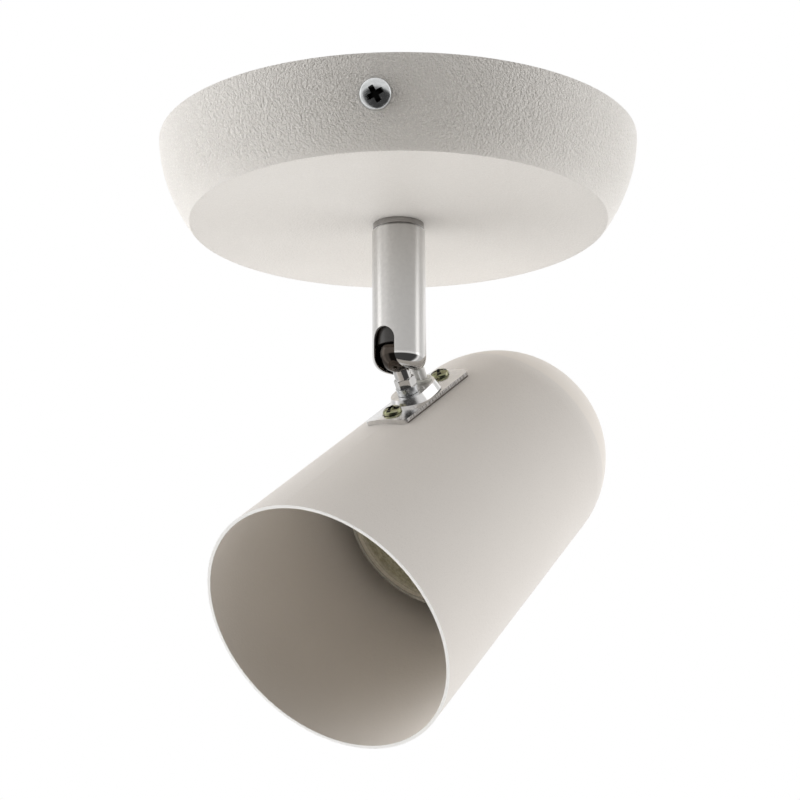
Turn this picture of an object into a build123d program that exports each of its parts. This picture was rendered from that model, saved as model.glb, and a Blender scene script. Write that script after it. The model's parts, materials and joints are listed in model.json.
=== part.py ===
from build123d import *
import math
import os

# Surface mounted ceiling spotlight: a round canopy, a slotted swivel stem, and a tapered
# lamp shade on a ball stud.  Millimetres, +Z up, origin at the middle of the canopy's
# ceiling plane, front towards -Y.  Azimuths run from -Y towards +X.

# ---------------------------------------------------------------- canopy
canopy_r = 70.0              # rim radius, on the ceiling
canopy_h = 24.8              # depth below the ceiling
canopy_flat_r = 60.9         # radius of the flat underside
canopy_straight = 12.8       # how far down the wall stays near the rim radius
canopy_wall = 1.2
stem_hole_r = 5.25           # hole for the nipple

cover_screw_azimuth = -5.0
cover_screw_z = -11.2
cover_screw_r = 2.0
cover_screw_l = 9.0
cover_screw_head_r = 4.0
cover_screw_head_h = 2.6

bracket_w = 16.0
bracket_t = 1.5
bracket_ear_gap = 2.4        # between an ear and the canopy wall at the screw
bracket_ear_below = 4.6      # ear beyond the screw's centre
ceiling_hole_r = 2.6
ceiling_hole_pitch = 74.0
bracket_bore_r = 5.5         # the leads rise through it

block_poles = 2
block_pole_pitch = 10.5
block_l = 16.0
block_h = 11.0
block_at = 22.0              # distance of the block from the stem axis
pole_bore_r = 1.6
pole_r = 2.5
block_screw_r = 1.5
earth_screw_r = 2.0
earth_washer_t = 1.0
earth_at = 22.0

# ---------------------------------------------------------------- stem
stem_r = 7.75
stem_wall = 1.2
stem_end_z = -69.2           # lowest point of the curled-in end
stem_curl_r = 4.0            # outside radius of the curl
stem_chamfer = 0.5
collar_h = 1.75
collar_r = 7.45
running_gap = 0.1            # between faces that turn on each other
fit_gap = 0.05               # round fits
thread_gap = 0.02            # screw in its nut

slot_azimuth = -40.0
slot_w = 7.6                 # slot and mouth of the stem
slot_top_z = -57.4
notch_top_z = -65.9          # short notch opposite the slot

nipple_r = 5.0
nipple_bore_r = 3.9
nipple_in_stem = 8.0
nipple_above_nut = 1.5
locknut_af = 14.0
locknut_h = 3.0
washer_r = 9.0
washer_t = 1.2
friction_washer_t = 1.0

# ---------------------------------------------------------------- ball stud
ball_r = 5.0
ball_offset = 1.5            # the ball sits towards the slot, the leads pass behind it
ball_clearance = 0.06
neck_r = 2.5
stud_hex_start = 7.4         # distances from the ball's centre along the stud
stud_hex_h = 2.7
stud_hex_af = 5.4
lock_washer_r = 3.3
lock_washer_t = 1.9
tail_r = 2.0
pivot_nut_af = 7.0
pivot_nut_h = 3.2
pivot_washer_r = 3.9
pivot_washer_t = 0.5

pad_h = 6.0
pad_grip = 2.6               # the pad's rim lies this far above the ball's centre
spring_wire_r = 0.5
spring_r = 2.9
spring_shift = 1.0           # towards the slot, clear of the leads
spring_turns = 5
spring_l = 11.0
spring_stop_h = 2.0
lead_channel = 2.6           # leads pass beyond this distance behind the stem axis

# ---------------------------------------------------------------- rest attitude
rest_tilt = 40.0             # stud from straight down
rest_azimuth = 152.4         # direction that the stud leans
rest_turn = 10.3             # shade round the stud

# ---------------------------------------------------------------- shade
shade_front_r = 39.05
shade_l = 121.0
shade_taper = 0.192          # loss of radius over the whole length, as a ratio
shade_wall = 0.9
shade_front_reach = 68.4     # from the stud to the open end
shoulder_l = 20.3            # length of the rounded shoulder at the closed end
shoulder_drop = 9.1          # and how much radius it takes off

plate_l = 36.5
plate_w = 14.4
plate_t = 1.4
plate_back = 3.2             # the plate's middle lies behind the stud
plate_corner_r = 2.0
boss_h = 2.0
boss_l = 15.8
boss_back = 2.4              # the boss's middle lies behind the stud
boss_w = 10.6
boss_wall = 1.0
boss_flare = 1.6             # the boss's foot is this much wider than its top
saddle_screw_pitch = 26.5
saddle_screw_r = 1.5
saddle_screw_head_r = 2.8
saddle_screw_head_h = 2.0
saddle_nut_af = 5.5
saddle_nut_h = 2.4
hole_play = 0.3

lead_r = 1.1
lead_gap = 0.1               # between the two leads
lead_back = 7.3              # leads lie this far behind the stud
lead_top = 7.7               # upper end, from the ball's centre along the stud
lead_bend_r = 4.0
lead_depth = 7.6             # run under the shade's wall
lead_turn_rise = 10.3        # the leads turn towards the holder this far in front of its face
lead_entry_x = 13.0          # where the leads enter the holder, from the shade's axis
lead_in = 4.0                # how deep they go in
grommet_wall = 0.6
grommet_t = 0.7

# ---------------------------------------------------------------- lamp and its holder
lamp_r = 25.0
rear_room = 5.5              # behind the carrier, inside the shade's closed end
lamp_body_l = 46.7           # lamp face to the cap's base
lamp_glass = 1.2
lens_t = 1.6
lens_lip = 1.4
cap_r = 10.5
cap_l = 14.0
pin_pitch = 10.0
pin_r = 1.5
pin_l = 7.2
pin_head_r = 2.5
pin_head_h = 2.8
lamp_turn = 18.0             # twist between locked and free

holder_r = 15.0
holder_h = 13.0
holder_screw_depth = 6.0
holder_gap = 0.3             # cap's base to the holder's face
pin_play = 0.3
lip_gap = 0.2                # pin head under the holder's lip
holder_screw_pitch = 19.0
holder_screw_r = 1.25
holder_screw_head_r = 2.2
holder_screw_head_h = 1.2
carrier_t = 1.2
carrier_w = 13.0
contact_t = 0.4
contact_w = 3.6

os.makedirs("parts", exist_ok=True)


# ---------------------------------------------------------------- small helpers
def save(shape, name):
    export_step(shape, f"parts/{name}.step")


def bar(radius, low, high):
    """Upright cylinder between two heights."""
    return Pos(0, 0, low) * Cylinder(radius, high - low, align=(Align.CENTER, Align.CENTER, Align.MIN))


def tube(outer, inner, low, high):
    return bar(outer, low, high) - bar(inner, low - 1, high + 1)


def hexagon(across_flats, low, high):
    """Upright hexagonal bar with both ends chamfered as by turning."""
    corner_r = across_flats / 2 / math.cos(math.pi / 6)
    body = extrude(Pos(0, 0, low) * RegularPolygon(corner_r, 6), high - low)
    drop = corner_r - across_flats / 2
    rounder = Pos(0, 0, low) * Cone(across_flats / 2 + drop * 0.2, corner_r + drop, drop * 1.2,
                                    align=(Align.CENTER, Align.CENTER, Align.MIN))
    rounder += bar(corner_r + drop, low + drop * 1.2, high - drop * 1.2)
    rounder += Pos(0, 0, high - drop * 1.2) * Cone(corner_r + drop, across_flats / 2 + drop * 0.2, drop * 1.2,
                                                   align=(Align.CENTER, Align.CENTER, Align.MIN))
    return body & rounder


def turned(*edges):
    """Solid of revolution about Z from the edges of a closed profile in the XZ plane."""
    return revolve(make_face(Curve() + list(edges)), Axis.Z)


def horizontal(azimuth):
    turn = math.radians(azimuth)
    return Vector(math.sin(turn), -math.cos(turn), 0)


def pan_head(radius, height):
    """Domed head on its flat underside at z = 0, with a cross recess."""
    edge = height * 0.45
    head = turned(Line((0, 0, 0), (radius, 0, 0)), Line((radius, 0, 0), (radius, 0, edge)),
                  ThreePointArc((radius, 0, edge), (radius * 0.75, 0, height * 0.82), (0, 0, height)),
                  Line((0, 0, height), (0, 0, 0)))
    wing = Box(radius * 1.05, radius * 0.26, height, align=(Align.CENTER, Align.CENTER, Align.MIN))
    cross = wing + Rot(0, 0, 90) * wing
    return head - Pos(0, 0, height * 0.4) * cross


def screw(radius, length, head_r, head_h):
    """Screw with its head above z = 0 and its shank below."""
    return pan_head(head_r, head_h) + bar(radius, -length, 0.01)


# ---------------------------------------------------------------- frames of the parts
slot_dir = horizontal(slot_azimuth)
stem_inner_r = stem_r - stem_wall
curl_centre_r = stem_r - stem_curl_r
curl_centre_z = stem_end_z + stem_curl_r
curl_inner_r = stem_curl_r - stem_wall

# the ball rests on the two cheeks, where the slot's edges cross the floor of the curl
cheek_r = math.hypot(slot_w / 2, ball_offset)
cheek_z = curl_centre_z - math.sqrt(curl_inner_r ** 2 - max(cheek_r - curl_centre_r, 0) ** 2)
ball_z = cheek_z + math.sqrt((ball_r + ball_clearance) ** 2 - (slot_w / 2) ** 2)
ball_centre = slot_dir * ball_offset + Vector(0, 0, ball_z)

lean, way, turn = (math.radians(v) for v in (rest_tilt, rest_azimuth, rest_turn))
stud_dir = Vector(math.sin(lean) * math.sin(way), -math.sin(lean) * math.cos(way), -math.cos(lean))
fall_dir = Vector(-math.cos(lean) * math.sin(way), math.cos(lean) * math.cos(way), -math.sin(lean))
side_dir = Vector(math.cos(way), math.sin(way), 0)
shade_dir = fall_dir * math.cos(turn) + side_dir * math.sin(turn)

# stack along the stud, from the ball's centre
stud_hex_end = stud_hex_start + stud_hex_h
boss_top = stud_hex_end + lock_washer_t + running_gap
shade_top = boss_top + boss_h + plate_t          # outside of the shade's wall at the stud


def shade_r(z):
    """Outside radius of the shade's cone at z of the shade's own frame."""
    return shade_front_r * (1 - shade_taper * (shade_front_reach - z) / shade_l)


foot_r = shade_r(0)
shade_centre = ball_centre + stud_dir * (shade_top + foot_r)

# stud frame: +Z along the stud, +X towards the open end of the shade.
# shade frame: +Z out of the open end, +X from the shade's axis to the ball.
stud_frame = Plane(origin=ball_centre, x_dir=shade_dir, z_dir=stud_dir).location
shade_frame = Plane(origin=shade_centre, x_dir=-stud_dir, z_dir=shade_dir).location
slot_frame = Plane(origin=(0, 0, 0), x_dir=slot_dir, z_dir=(0, 0, 1)).location
ear_frame = Plane(origin=(0, 0, 0), x_dir=horizontal(cover_screw_azimuth), z_dir=(0, 0, 1)).location

screw_zs = [-plate_back - saddle_screw_pitch / 2, -plate_back + saddle_screw_pitch / 2]
holder_screw_xs = [-holder_screw_pitch / 2, holder_screw_pitch / 2]
lead_y = lead_r + lead_gap / 2

# stations of the holder and the lamp on the shade's axis, from the closed end forwards
carrier_back_z = shade_front_reach - shade_l + shade_wall + rear_room
holder_back_z = carrier_back_z + carrier_t
holder_face_z = holder_back_z + holder_h
lamp_base_z = holder_face_z + holder_gap
lamp_face_z = lamp_base_z + lamp_body_l

canopy_inside = -canopy_h + canopy_wall
cone_slope = math.degrees(math.atan(shade_front_r * shade_taper / shade_l))


# ---------------------------------------------------------------- canopy
def canopy_profile(inset):
    """Wall curve from the rim to the flat, moved inwards by inset."""
    rim, low = canopy_r - inset, -canopy_h + inset
    flat = canopy_flat_r - inset * 0.6
    return Bezier((rim, 0, 0), (rim, 0, -canopy_straight), (flat + 0.4, 0, low), (flat, 0, low))


def wall_radius(z, inset=0.0):
    """Radius of the canopy's wall at height z."""
    curve = canopy_profile(inset)
    low, high = 0.0, 1.0
    for _ in range(40):
        middle = (low + high) / 2
        if (curve @ middle).Z > z:
            low = middle
        else:
            high = middle
    return (curve @ low).X


# the wall, the bracket's ears and the cover screws lean by the wall's slope at the screw
cover_screw_slope = math.degrees(math.atan(
    (wall_radius(cover_screw_z + 0.1) - wall_radius(cover_screw_z - 0.1)) / 0.2))


def on_ears(shape):
    """Copies of a shape of the screw's frame at both ends of the bracket."""
    at_wall = Pos(wall_radius(cover_screw_z), 0, cover_screw_z) * Rot(0, 90 + cover_screw_slope, 0)
    return [ear_frame * Rot(0, 0, half) * at_wall * shape for half in (0, 180)]


def canopy_cover():
    outer, inner = canopy_profile(0), canopy_profile(canopy_wall)
    out_end, in_end = outer @ 1, inner @ 1
    shell = turned(
        outer, Line(out_end, (stem_hole_r, 0, -canopy_h)),
        Line((stem_hole_r, 0, -canopy_h), (stem_hole_r, 0, canopy_inside)),
        Line((stem_hole_r, 0, canopy_inside), in_end), inner, Line(inner @ 0, outer @ 0))
    for hole in on_ears(bar(cover_screw_r + hole_play, -5, 5)):
        shell -= hole
    return shell


def ear_face():
    """Radius and height where the ear's middle line crosses the screw."""
    slope = math.radians(cover_screw_slope)
    back = canopy_wall + bracket_ear_gap + bracket_t / 2
    return (wall_radius(cover_screw_z) - back * math.cos(slope), cover_screw_z + back * math.sin(slope))


def ceiling_bracket():
    slope = math.radians(cover_screw_slope)
    ear_x, ear_z = ear_face()
    bend_z = -bracket_t / 2
    bend_x = ear_x + (bend_z - ear_z) * math.tan(slope)
    end = (ear_x - bracket_ear_below * math.sin(slope), ear_z - bracket_ear_below * math.cos(slope))
    line = Polyline((-end[0], end[1]), (-bend_x, bend_z), (bend_x, bend_z), end)
    strip = extrude(Plane.XZ * trace(line, bracket_t), bracket_w / 2, both=True)
    strip -= bar(bracket_bore_r, -bracket_t - 1, 1)
    for side in (-1, 1):
        strip -= Pos(side * ceiling_hole_pitch / 2, 0, 0) * bar(ceiling_hole_r, -bracket_t - 1, 1)
    strip -= Pos(block_at, 0, 0) * bar(block_screw_r + thread_gap, -bracket_t - 1, 1)
    strip -= Pos(-earth_at, 0, 0) * bar(earth_screw_r + thread_gap, -bracket_t - 1, 1)
    strip = ear_frame * strip
    for hole in on_ears(bar(cover_screw_r + thread_gap, -cover_screw_l - 1, 5)):
        strip -= hole
    return strip


def cover_screws():
    return on_ears(screw(cover_screw_r, cover_screw_l, cover_screw_head_r, cover_screw_head_h))


def block_frame(shape):
    """Place a shape of the block's own frame, which hangs under the bracket."""
    return ear_frame * Pos(block_at, 0, -bracket_t) * shape


def pole_places():
    first = -(block_poles - 1) / 2 * block_pole_pitch
    return [first + k * block_pole_pitch for k in range(block_poles)]


def terminal_block():
    body = Part()
    for y in pole_places():
        body += Pos(0, y, 0) * Box(block_l, block_pole_pitch - 0.8, block_h,
                                   align=(Align.CENTER, Align.CENTER, Align.MAX))
    body += Box(block_l * 0.6, (block_poles - 1) * block_pole_pitch, block_h * 0.55,
                align=(Align.CENTER, Align.CENTER, Align.MAX))
    for y in pole_places():
        body -= Pos(0, y, -block_h / 2) * Rot(0, 90, 0) * Cylinder(pole_r + fit_gap, block_l + 2)
        for x in screw_places():
            body -= Pos(x, y, 0) * bar(pole_bore_r + fit_gap, -block_h - 1, -block_h / 2)
    body -= bar(block_screw_r + hole_play, -block_h - 1, 1)
    body -= bar(block_screw_r * 2, -block_h - 1, -block_h * 0.55)
    return block_frame(body)


def screw_places():
    return [-block_l * 0.3, block_l * 0.3]


def terminal_poles():
    """Brass sleeves, one in each pole."""
    poles = []
    for y in pole_places():
        sleeve = Rot(0, 90, 0) * (Cylinder(pole_r, block_l * 0.9) - Cylinder(pole_bore_r, block_l))
        sleeve = Pos(0, y, -block_h / 2) * sleeve
        for x in screw_places():
            sleeve -= Pos(x, y, 0) * bar(pole_bore_r * 0.8 + thread_gap, -block_h, -block_h / 2)
        poles.append(block_frame(sleeve))
    return poles


def terminal_screws():
    shank = bar(pole_bore_r * 0.8, -block_h + 1.2, -block_h / 2 - 0.4)
    shank -= Pos(0, 0, -block_h + 1.2) * Box(pole_bore_r * 2, 0.4, 1.0)
    return [block_frame(Pos(x, y, 0) * shank) for y in pole_places() for x in screw_places()]


def block_screw():
    head_z = -block_h * 0.55
    body = Pos(0, 0, head_z) * Rot(180, 0, 0) * pan_head(block_screw_r * 1.8, 1.8)
    return block_frame(body + bar(block_screw_r, head_z - 0.01, bracket_t - 0.1))


def earth_screw():
    under = -bracket_t - earth_washer_t
    body = Pos(0, 0, under) * Rot(180, 0, 0) * pan_head(earth_screw_r * 1.9, 2.4)
    return ear_frame * Pos(-earth_at, 0, 0) * (body + bar(earth_screw_r, under - 0.01, -0.1))


def earth_washer():
    ring = tube(earth_screw_r * 2.2, earth_screw_r + fit_gap, -bracket_t - earth_washer_t, -bracket_t)
    return ear_frame * Pos(-earth_at, 0, 0) * ring


# ---------------------------------------------------------------- stem
collar_top = -canopy_h - running_gap
collar_low = collar_top - collar_h
friction_low = canopy_inside + running_gap
washer_low = friction_low + friction_washer_t
nut_low = washer_low + washer_t
nipple_top = nut_low + locknut_h + nipple_above_nut
nipple_low = collar_low - nipple_in_stem


def stem_collar():
    return chamfer(tube(collar_r, nipple_r + fit_gap, collar_low, collar_top).edges().group_by(Axis.Z)[0]
                   .filter_by(lambda e: e.radius > nipple_r + 1), 0.25)


def slot_cut(top, way_sign):
    """Round-topped slot from the stem's mouth up to a height, on one side."""
    half = slot_w / 2
    arch = Pos(0, 0, top - half) * Rot(0, 90, 0) * Cylinder(half, stem_r * 2,
                                                            align=(Align.CENTER, Align.CENTER, Align.MIN))
    leg = Pos(0, 0, top - half) * Box(stem_r * 2, slot_w, top - stem_end_z + half,
                                      align=(Align.MIN, Align.CENTER, Align.MAX))
    return slot_frame * Rot(0, 0, 0 if way_sign > 0 else 180) * (arch + leg)


def stem_tube():
    """Tube with its lower end curled in, a round mouth, a tall slot and a short notch."""
    top, corner = collar_low, stem_chamfer
    bend = math.sqrt(0.5)
    mouth = slot_w / 2
    outer = [Line((stem_inner_r, 0, top), (stem_r - corner, 0, top)),
             Line((stem_r - corner, 0, top), (stem_r, 0, top - corner)),
             Line((stem_r, 0, top - corner), (stem_r, 0, curl_centre_z)),
             ThreePointArc((stem_r, 0, curl_centre_z),
                           (curl_centre_r + stem_curl_r * bend, 0, curl_centre_z - stem_curl_r * bend),
                           (curl_centre_r, 0, stem_end_z)),
             Line((curl_centre_r, 0, stem_end_z), (curl_centre_r - 1, 0, stem_end_z)),
             Line((curl_centre_r - 1, 0, stem_end_z), (curl_centre_r - 1, 0, stem_end_z + stem_wall)),
             Line((curl_centre_r - 1, 0, stem_end_z + stem_wall), (curl_centre_r, 0, stem_end_z + stem_wall)),
             ThreePointArc((curl_centre_r, 0, stem_end_z + stem_wall),
                           (curl_centre_r + curl_inner_r * bend, 0, curl_centre_z - curl_inner_r * bend),
                           (stem_inner_r, 0, curl_centre_z)),
             Line((stem_inner_r, 0, curl_centre_z), (stem_inner_r, 0, top))]
    body = turned(*outer) - bar(mouth, stem_end_z - 1, stem_end_z + stem_wall + 1)
    return body - slot_cut(slot_top_z, 1) - slot_cut(notch_top_z, -1)


def stem_bush():
    return tube(stem_inner_r - thread_gap, nipple_r + thread_gap, nipple_low, collar_low)


def threaded_nipple():
    return chamfer(tube(nipple_r, nipple_bore_r, nipple_low, nipple_top).edges()
                   .filter_by(GeomType.CIRCLE).filter_by(lambda e: e.radius > nipple_r - 0.1), 0.4)


def stem_locknut():
    return hexagon(locknut_af, nut_low, nut_low + locknut_h) - bar(nipple_r + thread_gap, nut_low - 1, 0)


def nut_washer():
    return tube(washer_r, nipple_r + fit_gap, washer_low, nut_low)


def friction_washer():
    return tube(washer_r, nipple_r + fit_gap, friction_low, washer_low)


pad_low = ball_z + pad_grip
pad_top = pad_low + pad_h
spring_top = pad_top + spring_l


def lead_passage(low, high):
    """The room behind the ball that the leads take."""
    block = Box(stem_r, stem_r * 2, high - low, align=(Align.MAX, Align.CENTER, Align.MIN))
    return slot_frame * Pos(-lead_channel, 0, low) * block


def spring_seat(low, high):
    return bar(stem_inner_r - fit_gap, low, high) - lead_passage(low - 1, high + 1)


def thrust_pad():
    """Pad that the spring presses on the ball, with a flat for the leads."""
    return spring_seat(pad_low, pad_top) - Pos(*ball_centre) * Sphere(ball_r + fit_gap)


def pressure_spring():
    """Coil spring between the pad and its stop, with open ends."""
    height = spring_l - 2 * spring_wire_r
    coil = Helix(height / spring_turns, height, spring_r)
    wire = Plane(origin=coil @ 0, z_dir=coil % 0) * Circle(spring_wire_r)
    spring = sweep(wire, path=coil, is_frenet=True)
    return Pos(*(slot_dir * spring_shift)) * Pos(0, 0, pad_top + spring_wire_r) * spring


def spring_stop():
    """Pressed-in plate above the spring."""
    return spring_seat(spring_top, spring_top + spring_stop_h)


# ---------------------------------------------------------------- ball stud
boss_under = boss_top + boss_wall
pivot_washer_end = boss_under + running_gap + pivot_washer_t
pivot_nut_end = pivot_washer_end + pivot_nut_h
tail_end = pivot_nut_end + 0.8


def ball_stud():
    """Ball, neck, spanner flats and threaded tail turned as one piece."""
    body = Sphere(ball_r) + bar(neck_r, 0, stud_hex_start + 0.3)
    body += hexagon(stud_hex_af, stud_hex_start, stud_hex_end)
    return stud_frame * (body + bar(tail_r, stud_hex_end - 0.1, tail_end))


def stud_lock_washer():
    """Split spring washer between the spanner flats and the saddle's boss."""
    ring = tube(lock_washer_r, tail_r + fit_gap, stud_hex_end, stud_hex_end + lock_washer_t)
    return stud_frame * (ring - Pos(-lock_washer_r, 0, stud_hex_end + lock_washer_t / 2)
                         * Rot(20, 0, 0) * Box(lock_washer_r * 2, 0.5, lock_washer_t * 2))


def pivot_washer():
    start = pivot_washer_end - pivot_washer_t
    return stud_frame * tube(pivot_washer_r, tail_r + fit_gap, start, pivot_washer_end)


def pivot_nut():
    nut = hexagon(pivot_nut_af, pivot_washer_end, pivot_nut_end)
    return stud_frame * (nut - bar(tail_r + thread_gap, 0, tail_end + 1))


# ---------------------------------------------------------------- shade
def shade_profile(inset):
    """Curve of the shade from the open end to the middle of its closed end."""
    rear = shade_front_reach - shade_l + inset
    knee_z = shade_front_reach - shade_l + shoulder_l
    end_r = shade_r(shade_front_reach - shade_l) - shoulder_drop
    knee_r = shade_r(knee_z) - inset
    drop = shoulder_l - inset
    run = (knee_r - end_r)
    slope = math.tan(math.radians(cone_slope))
    return [Line((shade_front_r - inset, 0, shade_front_reach), (knee_r, 0, knee_z)),
            Bezier((knee_r, 0, knee_z), (knee_r - slope * drop * 0.42, 0, knee_z - drop * 0.42),
                   (end_r + run * 0.38, 0, rear), (end_r, 0, rear)),
            Line((end_r, 0, rear), (0, 0, rear))]


def across(shape, z):
    """Put a shape of a screw's frame on the top of the shade at z, pointing out of it."""
    return Pos(0, 0, z) * Rot(0, 90, 0) * shape


def rounded_slot(length, width, low, high):
    """Upright stadium block; its length lies along X."""
    return extrude(Pos(0, 0, low) * SlotOverall(length, width), high - low)


lead_slot_w = 4 * lead_r + lead_gap + 0.3
lead_slot_l = 2 * lead_r + 0.3


def lead_hole(play, low, high):
    """Opening round both leads: wide across the shade, narrow along it."""
    slot = rounded_slot(lead_slot_w + 2 * play, lead_slot_l + 2 * play, low, high)
    return across(Rot(0, 0, 90) * slot, -lead_back)


pivot_hole_r = pivot_nut_af / 2 / math.cos(math.pi / 6) + 0.6


def shade_shell():
    outer, inner = shade_profile(0), shade_profile(shade_wall)
    rim = Line(inner[0] @ 0, outer[0] @ 0)
    axis = Line(outer[2] @ 1, inner[2] @ 1)
    shell = turned(*outer, axis, *inner, rim)
    shell -= across(bar(pivot_hole_r, foot_r - 6, foot_r + 4), 0)
    shell -= lead_hole(grommet_wall, foot_r - 6, foot_r + 4)
    for z in screw_zs:
        shell -= across(bar(saddle_screw_r + hole_play, foot_r - 8, foot_r + 4), z)
    return shade_frame * shell


def saddle_plate():
    """Plate curved round the shade with a raised stadium boss that carries the stud."""
    low, high = -plate_back - plate_l / 2, -plate_back + plate_l / 2
    lift = plate_t / math.cos(math.radians(cone_slope))
    ring = turned(Line((shade_r(low), 0, low), (shade_r(low) + lift, 0, low)),
                  Line((shade_r(low) + lift, 0, low), (shade_r(high) + lift, 0, high)),
                  Line((shade_r(high) + lift, 0, high), (shade_r(high), 0, high)),
                  Line((shade_r(high), 0, high), (shade_r(low), 0, low)))
    outline = Pos(0, 0, foot_r * 0.8) * RectangleRounded(plate_l, plate_w, plate_corner_r)
    plate = ring & across(extrude(outline, foot_r), -plate_back)
    top = foot_r + plate_t + boss_h
    hollow = rounded_slot(boss_l - 2 * boss_wall, boss_w - 2 * boss_wall, foot_r - 2, top - boss_wall)
    hollow = across(hollow, -boss_back)
    plate = (plate - hollow) + (boss(foot_r + plate_t * 0.5, top) - hollow)
    plate -= across(bar(tail_r + fit_gap, foot_r - 2, top + 1), 0)
    plate -= lead_hole(grommet_wall, foot_r - 2, top + 1)
    for z in screw_zs:
        plate -= across(bar(saddle_screw_r + hole_play, foot_r - 4, top), z)
        plate -= across(bar(saddle_screw_head_r + hole_play, saddle_seat(z), top + 4), z)
    return shade_frame * plate


def boss(low, high):
    """Stadium frustum on the plate, wider at its foot."""
    spread = boss_flare * (high - low) / boss_h
    foot = Pos(0, 0, low) * SlotOverall(boss_l + spread, boss_w + spread)
    return across(loft([foot, Pos(0, 0, high) * SlotOverall(boss_l, boss_w)]), -boss_back)


def saddle_seat(z):
    """Height of the flat that a saddle screw's head sits on, just under the plate's surface."""
    surface = shade_r(z) + plate_t / math.cos(math.radians(cone_slope))
    return surface - saddle_screw_head_r * math.tan(math.radians(cone_slope)) - 0.1


carrier_top = math.sqrt((shade_r(screw_zs[0]) - shade_wall) ** 2 - (carrier_w / 2) ** 2) - 0.4
nut_low_x = carrier_top - carrier_t - saddle_nut_h


def saddle_screws():
    """Two screws through plate, shade and carrier."""
    screws = []
    for z in screw_zs:
        seat = saddle_seat(z)
        body = Pos(0, 0, seat) * screw(saddle_screw_r, seat - nut_low_x + 0.8,
                                       saddle_screw_head_r, saddle_screw_head_h)
        screws.append(shade_frame * across(body, z))
    return screws


def saddle_nuts():
    nut = hexagon(saddle_nut_af, nut_low_x, nut_low_x + saddle_nut_h)
    nut -= bar(saddle_screw_r + thread_gap, nut_low_x - 1, carrier_top)
    return [shade_frame * across(nut, z) for z in screw_zs]


def lamp_carrier():
    """Bent strip: under the saddle screws, stepped inwards, then across behind the holder."""
    start_z = screw_zs[1] + 4.5
    step_z = screw_zs[0] - 4.5
    high, low = carrier_top - carrier_t / 2, holder_r + 4.0
    back = carrier_back_z + carrier_t / 2
    line = Polyline((high, start_z), (high, step_z), (low, step_z - (high - low)), (low, back),
                    (-holder_r + 2, back))
    strip = extrude(Plane.XZ * trace(line, carrier_t), carrier_w / 2, both=True)
    strip -= across(bar(pivot_hole_r, carrier_top - 4, carrier_top + 4), 0)
    strip -= lead_hole(0.3, carrier_top - 4, carrier_top + 4)
    for z in screw_zs:
        strip -= across(bar(saddle_screw_r + thread_gap, carrier_top - 4, carrier_top + 4), z)
    for x in holder_screw_xs:
        strip -= Pos(x, 0, 0) * bar(holder_screw_r + hole_play, carrier_back_z - 1, holder_back_z + 1)
    return shade_frame * strip


def kidney(half_w, low, high):
    """Curved pocket that a pin sweeps between locked and free."""
    middle = CenterArc((0, 0), pin_pitch / 2, 90, lamp_turn)
    return extrude(Pos(0, 0, low) * SlotArc(middle, 2 * half_w), high - low)


def lamp_holder():
    """Round ceramic holder with two bayonet pockets, open to the lamp's pins."""
    puck = fillet(bar(holder_r, holder_back_z, holder_face_z).edges(), 1.0)
    lip_z = lamp_base_z - (pin_l - pin_head_h) + lip_gap
    floor_z = lamp_base_z - pin_l - lip_gap - contact_t - 0.3
    free = math.radians(90 + lamp_turn)
    for half in (0, 180):
        cut = kidney(pin_head_r + pin_play, floor_z, lip_z)
        cut += kidney(pin_r + pin_play, lip_z - 0.1, holder_face_z + 1)
        cut += Pos(pin_pitch / 2 * math.cos(free), pin_pitch / 2 * math.sin(free), 0) * bar(
            pin_head_r + pin_play, lip_z - 0.1, holder_face_z + 1)
        puck -= Rot(0, 0, half) * cut
    for x in holder_screw_xs:
        puck -= Pos(x, 0, 0) * bar(holder_screw_r + thread_gap, holder_back_z - 1,
                                   holder_back_z + holder_screw_depth + 1)
    entry = rounded_slot(2 * (lead_y + lead_r + fit_gap), 2 * (lead_r + fit_gap),
                         holder_face_z - lead_in, holder_face_z + 1)
    return shade_frame * (puck - Pos(lead_entry_x, 0, 0) * Rot(0, 0, 90) * entry)


def holder_screws():
    body = Rot(180, 0, 0) * screw(holder_screw_r, carrier_t + holder_screw_depth,
                                  holder_screw_head_r, holder_screw_head_h)
    return [shade_frame * Pos(x, 0, carrier_back_z) * body for x in holder_screw_xs]


def holder_contacts():
    """Brass springs on the floor of each pocket, under the pin heads."""
    floor_z = lamp_base_z - pin_l - lip_gap - contact_t - 0.3
    leaf = Box(contact_w, contact_w, contact_t, align=(Align.CENTER, Align.CENTER, Align.MIN))
    leaf += Pos(0, 0, contact_t) * Box(contact_w * 0.6, contact_w * 0.5, 0.2,
                                       align=(Align.CENTER, Align.CENTER, Align.MIN))
    return [shade_frame * Rot(0, 0, half) * Pos(0, pin_pitch / 2, floor_z) * leaf for half in (0, 180)]


def lamp_leads():
    """Two sleeved leads: out of the boss beside the stud, and in to the holder."""
    top_x = foot_r + shade_top - lead_top
    run_x = foot_r - lead_depth
    turn_z = holder_face_z + lead_turn_rise
    leads = []
    for side in (-1, 1):
        y = side * lead_y
        path = FilletPolyline((top_x, y, -lead_back), (run_x, y, -lead_back),
                              (lead_entry_x, y, turn_z), (lead_entry_x, y, holder_face_z - lead_in),
                              radius=lead_bend_r)
        leads.append(shade_frame * sweep(Plane(origin=path @ 0, z_dir=path % 0) * Circle(lead_r), path=path))
    return leads


def lead_grommet():
    """Sleeve that lines the leads' hole in the boss, with a thin flange on top."""
    top = foot_r + plate_t + boss_h
    body = lead_hole(grommet_wall - thread_gap, top - boss_wall, top)
    body += lead_hole(grommet_wall + 0.5, top, top + grommet_t)
    return shade_frame * (body - lead_hole(-0.1, top - 5, top + 5))


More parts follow.
